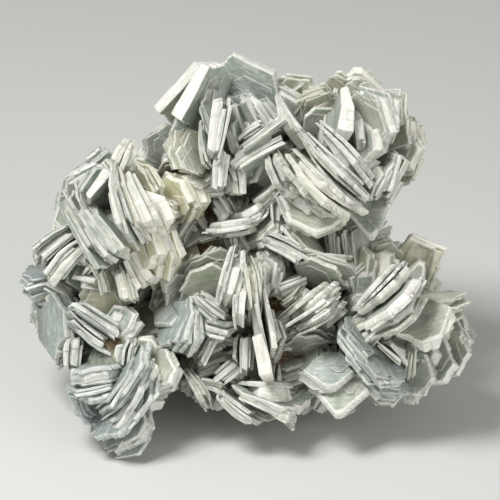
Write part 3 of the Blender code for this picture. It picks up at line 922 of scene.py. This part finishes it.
class Nodes:
    """Short ways to add and join a material's nodes."""

    def __init__(self, name):
        self.material = bpy.data.materials.new(name)
        self.material.use_nodes = True
        self.tree = self.material.node_tree

    def fill(self, node, inputs):
        """Link the inputs that other nodes give, and set the rest."""
        for key, value in inputs.items():
            if isinstance(value, bpy.types.NodeSocket):
                self.tree.links.new(value, node.inputs[key])
            else:
                node.inputs[key].default_value = value

    def add(self, kind, inputs=None, **settings):
        """The outputs of a new node."""
        node = self.tree.nodes.new(kind)
        for key, value in settings.items():
            setattr(node, key, value)
        self.fill(node, inputs or {})
        return node.outputs

    def finish(self, inputs):
        """The material, once its surface has its inputs."""
        self.fill(self.tree.nodes["Principled BSDF"], inputs)
        return self.material

    def attribute(self, name, output):
        return self.add("ShaderNodeAttribute", attribute_name=name)[output]

    def math(self, operation, first, second, clamp=False):
        return self.add("ShaderNodeMath", {0: first, 1: second},
                        operation=operation, use_clamp=clamp)[0]

    def mix(self, share, first, second, blend="MIX"):
        return self.add("ShaderNodeMix", {0: share, 6: first, 7: second},
                        data_type="RGBA", blend_type=blend)[2]

    def spread(self, value, low, high, new_low, new_high):
        return self.add("ShaderNodeMapRange", {
            "Value": value, "From Min": low, "From Max": high,
            "To Min": new_low, "To Max": new_high})[0]

    def stretch(self, vector, scale):
        return self.add("ShaderNodeMapping", {"Vector": vector, "Scale": scale})[0]

    def noise(self, vector, scale, detail, roughness):
        return self.add("ShaderNodeTexNoise", {
            "Vector": vector, "Scale": scale, "Detail": detail, "Roughness": roughness})[0]

    def bump(self, height, distance, strength, **normal):
        return self.add("ShaderNodeBump", {
            "Height": height, "Distance": distance, "Strength": strength, **normal})[0]


def blade_material(colours):
    """Milky blades: translucent faces, white rims of milky edge and painted glow, fine striations
    and parquet steps.
    """
    nodes = Nodes(BLADES)
    place = nodes.attribute("place", "Vector")
    milky_glow_rim = nodes.attribute("milky_glow_rim", "Fac")
    tone = nodes.attribute("tone", "Vector")
    warm, root, stain = nodes.add("ShaderNodeSeparateXYZ", {0: tone})

    # Patterns along the blade, across it, through it and all over
    streaks = nodes.noise(nodes.stretch(place, (0.28, 1.5, 1.6)), 1.0, 6.0, 0.7)
    cross = nodes.noise(nodes.stretch(place, (1.3, 0.3, 0.3)), 1.0, 5.0, 0.65)
    clouds = nodes.noise(place, 0.28, 3.0, 0.6)
    layers = nodes.noise(nodes.stretch(place, (0.12, 0.12, 4.0)), 1.0, 3.0, 0.6)
    tiles = nodes.add("ShaderNodeTexVoronoi", {
        "Vector": nodes.stretch(place, (0.42, 0.42, 0.01)), "Scale": 1.0,
        "Randomness": 0.75}, distance="MANHATTAN", feature="F1")
    flat = nodes.spread(milky_glow_rim, 0.2, 0.6, 1.0, 0.0)

    # Flat sides: cream or blue by the blade's tone, with milky streaks and soft clouds
    face = nodes.mix(nodes.math("MULTIPLY", warm, 1.0, True), (*colours.face, 1),
                     (*colours.cream, 1))
    cool = nodes.math("MULTIPLY", warm, -1.0, True)
    face = nodes.mix(cool, face, (*colours.blue, 1))
    milk = nodes.spread(streaks, 0.48, 0.7, 0.0, 0.58)
    milk = nodes.math("ADD", milk, nodes.spread(cross, 0.52, 0.75, 0.0, 0.25), True)
    face = nodes.mix(milk, face, (*colours.milky_glow_rim, 1))
    face = nodes.mix(0.6, face, nodes.spread(clouds, 0.3, 0.7, 0.25, 0.75), "SOFT_LIGHT")

    # White rims, partly milky edge and partly painted glow, glassier on blue blades, then painted
    # shade at the roots and the stains
    ragged = nodes.spread(streaks, 0.3, 0.7, -0.3, 0.3)
    edge = nodes.math("ADD", milky_glow_rim, ragged)
    edge = nodes.spread(edge, 0.3, 1.0, 0.0, 1.0)
    edge = nodes.math("MULTIPLY", edge, nodes.spread(cool, 0.0, 1.0, 1.0, 0.4), True)
    # Painted glow and milky edge: the rim colour laid over the margins
    surface = nodes.mix(edge, face, (*colours.milky_glow_rim, 1))
    # Painted shade: darker towards each blade's root, where the blades crowd together
    root_shade = nodes.spread(root, 0.6, 1.0, 0.0, 0.7)
    surface = nodes.mix(root_shade, surface, (*colours.root_shade_and_mottle, 1))
    rust = nodes.math("MULTIPLY", stain, nodes.spread(root, 0.15, 0.7, 0.0, 1.0), True)
    surface = nodes.mix(rust, surface, (*colours.stain, 1))

    # Fine relief, most of it on the flat sides
    lines = nodes.bump(tiles["Color"], 0.08 * MM, nodes.math("MULTIPLY", flat, 0.6))
    lines = nodes.bump(streaks, 0.15 * MM, nodes.math("MULTIPLY", flat, 0.7), Normal=lines)
    lines = nodes.bump(cross, 0.12 * MM, nodes.math("MULTIPLY", flat, 0.4), Normal=lines)
    lines = nodes.bump(layers, 0.16 * MM, 0.8, Normal=lines)
    return nodes.finish({
        "Base Color": surface, "Roughness": nodes.spread(clouds, 0.3, 0.7, 0.3, 0.5),
        "IOR": 1.64, "Subsurface Weight": 0.6, "Subsurface Radius": (1.0, 1.1, 1.1),
        "Subsurface Scale": 1.4 * MM, "Normal": lines,
    })


def crust_material(colours):
    """Granular crust: dull grey-green barite with earthy brown in the hollows."""
    nodes = Nodes("barite crust")
    spot = nodes.add("ShaderNodeTexCoord")["Object"]
    stain = nodes.attribute("stain", "Fac")
    coarse = nodes.noise(spot, 260.0, 4.0, 0.6)
    grains = nodes.noise(spot, 1500.0, 2.0, 0.6)
    # Dark mottling of the crust, spread by noise, in the same colour as the painted root shade
    ground = nodes.mix(nodes.spread(coarse, 0.35, 0.65, 0, 1), (*colours.root_shade_and_mottle, 1),
                       (*colours.face, 1))
    rust = nodes.math("ADD", stain, nodes.spread(coarse, 0.3, 0.7, -0.3, 0.3), True)
    ground = nodes.mix(rust, ground, (*colours.stain, 1))
    ground = nodes.mix(nodes.spread(grains, 0.5, 0.8, 0, 0.5), ground, (*colours.cream, 1))
    height = nodes.bump(coarse, 0.8 * MM, 0.8)
    return nodes.finish({
        "Base Color": ground, "Roughness": nodes.spread(grains, 0.3, 0.7, 0.6, 0.9),
        "Normal": nodes.bump(grains, 0.25 * MM, 0.9, Normal=height),
    })


def floor_material(colours):
    nodes = Nodes("pale floor")
    spot = nodes.add("ShaderNodeTexCoord")["Object"]
    cloud = nodes.noise(spot, 6.0, 3.0, 0.5)
    tint = nodes.mix(nodes.spread(cloud, 0.3, 0.7, 0, 0.04), (*colours.floor, 1),
                     (0.5, 0.5, 0.5, 1))
    return nodes.finish({"Base Color": tint, "Roughness": 0.7})


def grow_region(scene, name, rows, seed):
    """Grow the books of one region, each from its own row."""
    shape = BladeMesh(scene, random.Random(seed))
    for across, up, out, turn, *form in rows:
        book = Book(*form)
        grow_book(shape, Vector((across, up, out)), book_axes(turn, book.face), book)
    shape.finish(name)


class BARITE_OT_crown(bpy.types.Operator):
    """Grow the crown of blades at the upper left"""
    bl_idname = "barite.crown"
    bl_label = "Crown blades"

    def execute(self, context):
        grow_region(context.scene, "crown_blades", CROWN, seed=11)
        return {"FINISHED"}


class BARITE_OT_rosette(bpy.types.Operator):
    """Grow the rosette and its front books at the upper right"""
    bl_idname = "barite.rosette"
    bl_label = "Rosette blades"

    def execute(self, context):
        grow_region(context.scene, "rosette_blades", ROSETTE, seed=12)
        return {"FINISHED"}


class BARITE_OT_left_lobe(bpy.types.Operator):
    """Grow the fanned books of the left lobe"""
    bl_idname = "barite.left_lobe"
    bl_label = "Left lobe blades"

    def execute(self, context):
        grow_region(context.scene, "left_lobe_blades", LEFT_LOBE, seed=13)
        return {"FINISHED"}


class BARITE_OT_left_side(bpy.types.Operator):
    """Grow the pale blue blades on the left side"""
    bl_idname = "barite.left_side"
    bl_label = "Left side blades"

    def execute(self, context):
        grow_region(context.scene, "left_side_blades", LEFT_SIDE, seed=14)
        return {"FINISHED"}


class BARITE_OT_foot_lobe(bpy.types.Operator):
    """Grow the lower left lobe, which reaches the floor"""
    bl_idname = "barite.foot_lobe"
    bl_label = "Foot lobe blades"

    def execute(self, context):
        grow_region(context.scene, "foot_lobe_blades", FOOT_LOBE, seed=15)
        return {"FINISHED"}


class BARITE_OT_heart(bpy.types.Operator):
    """Grow the spires and petals at the middle of the front"""
    bl_idname = "barite.heart"
    bl_label = "Heart blades"

    def execute(self, context):
        grow_region(context.scene, "heart_blades", HEART, seed=16)
        return {"FINISHED"}


class BARITE_OT_low_fan(bpy.types.Operator):
    """Grow the low fan of blades under the middle"""
    bl_idname = "barite.low_fan"
    bl_label = "Low fan blades"

    def execute(self, context):
        grow_region(context.scene, "low_fan_blades", LOW_FAN, seed=17)
        return {"FINISHED"}


class BARITE_OT_right_lobe(bpy.types.Operator):
    """Grow the lens books, blue plates and petals of the right lobe"""
    bl_idname = "barite.right_lobe"
    bl_label = "Right lobe blades"

    def execute(self, context):
        grow_region(context.scene, "right_lobe_blades", RIGHT_LOBE, seed=18)
        return {"FINISHED"}


class BARITE_OT_saddle(bpy.types.Operator):
    """Grow the blades between the upper and lower lobes"""
    bl_idname = "barite.saddle"
    bl_label = "Saddle blades"

    def execute(self, context):
        grow_region(context.scene, "saddle_blades", SADDLE, seed=19)
        return {"FINISHED"}


class BARITE_OT_back(bpy.types.Operator):
    """Grow the rings of books that close the back"""
    bl_idname = "barite.back"
    bl_label = "Back blades"

    def execute(self, context):
        grow_back(context.scene)
        return {"FINISHED"}


class BARITE_OT_filler(bpy.types.Operator):
    """Grow small blades on the crust between the books"""
    bl_idname = "barite.filler"
    bl_label = "Filler blades"

    def execute(self, context):
        grow_fillers(context.scene)
        return {"FINISHED"}


class BARITE_OT_crust(bpy.types.Operator):
    """Make the massive crust that the blades grow from"""
    bl_idname = "barite.crust"
    bl_label = "Crust"

    def execute(self, context):
        make_crust(crust_material(context.scene.barite_colours))
        return {"FINISHED"}


def add_light(name, place, target, size, power):
    data = bpy.data.lights.new(name, "AREA")
    data.size = size
    data.energy = power
    light = new_object(name, data)
    light.location = place
    light.rotation_euler = (target - place).to_track_quat("-Z", "Y").to_euler()


class BARITE_OT_stage(bpy.types.Operator):
    """Lay the pale floor and set up the lights, the world and the camera"""
    bl_idname = "barite.stage"
    bl_label = "Stage"

    def execute(self, context):
        scene = context.scene
        stage = scene.barite_stage
        middle = Vector((0, 0, LIFT * MM))
        lean = math.radians(LEAN)

        shape = bmesh.new()
        bmesh.ops.create_grid(shape, x_segments=1, y_segments=1, size=FLOOR_REACH)
        floor = new_object("floor", new_mesh("floor", shape))
        floor.data.materials.append(floor_material(scene.barite_colours))

        add_light("key light", KEY_PLACE, middle, KEY_SIZE, stage.key)
        add_light("fill light", FILL_PLACE, middle, FILL_SIZE, stage.fill)
        world = bpy.data.worlds.new("soft studio")
        world.use_nodes = True
        backdrop = world.node_tree.nodes["Background"]
        backdrop.inputs["Color"].default_value = SKY_COLOUR
        backdrop.inputs["Strength"].default_value = SKY_STRENGTH
        scene.world = world
        scene.view_settings.view_transform = "Standard"

        data = bpy.data.cameras.new("camera")
        data.lens = data.sensor_width * stage.distance / stage.field
        camera = new_object("camera", data)
        away = Vector((0, -math.cos(lean), math.sin(lean)))
        camera.location = middle + away * stage.distance
        camera.rotation_euler = (math.radians(90 - LEAN), 0, 0)
        scene.camera = camera
        return {"FINISHED"}


class BARITE_PT_panel(bpy.types.Panel):
    """Sizes, colours and steps of the cluster"""
    bl_idname = "BARITE_PT_panel"
    bl_label = "Barite cluster"
    bl_space_type = "VIEW_3D"
    bl_region_type = "UI"
    bl_category = "Barite"

    def draw(self, context):
        scene = context.scene
        for group in (scene.barite_sizes, scene.barite_colours, scene.barite_stage):
            box = self.layout.box()
            for name in group.__annotations__:
                box.prop(group, name)
        for step in STEPS:
            self.layout.operator(step.bl_idname)


STEPS = (
    BARITE_OT_crust, BARITE_OT_crown, BARITE_OT_rosette, BARITE_OT_left_lobe,
    BARITE_OT_left_side, BARITE_OT_foot_lobe, BARITE_OT_heart, BARITE_OT_low_fan,
    BARITE_OT_right_lobe, BARITE_OT_saddle, BARITE_OT_back, BARITE_OT_filler,
    BARITE_OT_stage,
)
CLASSES = (BariteSizes, BariteColours, BariteStage, *STEPS, BARITE_PT_panel)


def register():
    for item in CLASSES:
        bpy.utils.register_class(item)
    bpy.types.Scene.barite_sizes = PointerProperty(type=BariteSizes)
    bpy.types.Scene.barite_colours = PointerProperty(type=BariteColours)
    bpy.types.Scene.barite_stage = PointerProperty(type=BariteStage)


def unregister():
    del bpy.types.Scene.barite_stage
    del bpy.types.Scene.barite_colours
    del bpy.types.Scene.barite_sizes
    for item in reversed(CLASSES):
        bpy.utils.unregister_class(item)


def main():
    register()
    for step in STEPS:
        getattr(bpy.ops.barite, step.bl_idname.split(".")[1])()


if __name__ == "__main__":
    main()
